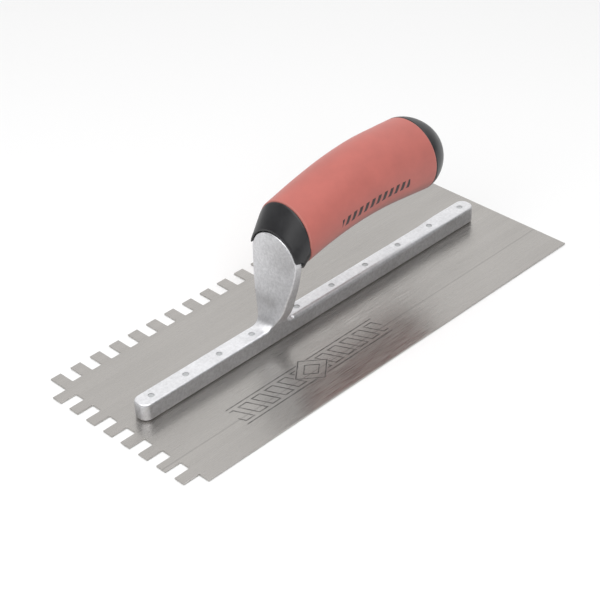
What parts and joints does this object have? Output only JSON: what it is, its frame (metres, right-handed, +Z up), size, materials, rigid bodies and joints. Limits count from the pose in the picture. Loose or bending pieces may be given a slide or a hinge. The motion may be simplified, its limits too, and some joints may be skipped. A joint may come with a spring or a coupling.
{
  "type": "notched trowel",
  "caption": "Hand trowel with a flat steel blade toothed on one long and one short edge, a riveted cast bar and shank, and a soft round handle above it.",
  "frame": {"origin": "centre of the blade's underside", "axes": "+X along the blade to its plain end, +Y to the toothed long edge, +Z up from the blade to the handle"},
  "size_m": [0.2794, 0.1142, 0.0866],
  "materials": {
    "blade_steel": "lengthwise ground, semi-gloss",
    "cast_aluminium": "satin casting, lightly blasted",
    "rivet_steel": "dull, pressed flush",
    "black_plastic": "semi-gloss moulding",
    "red_grip": "matte soft moulding",
    "bolt_steel": "zinc plated"
  },
  "bodies": {
    "root": {"blade": "blade_steel", "mounting": "cast_aluminium", "rivet_01": "rivet_steel", "rivet_02": "rivet_steel", "rivet_03": "rivet_steel", "rivet_04": "rivet_steel", "rivet_05": "rivet_steel", "rivet_06": "rivet_steel", "rivet_07": "rivet_steel", "rivet_08": "rivet_steel", "rivet_09": "rivet_steel", "rivet_10": "rivet_steel", "handle_core": "black_plastic", "grip_sleeve": "red_grip", "end_cap": "black_plastic", "handle_bolt": "bolt_steel", "bolt_washer": "bolt_steel"}
  },
  "joints": []
}
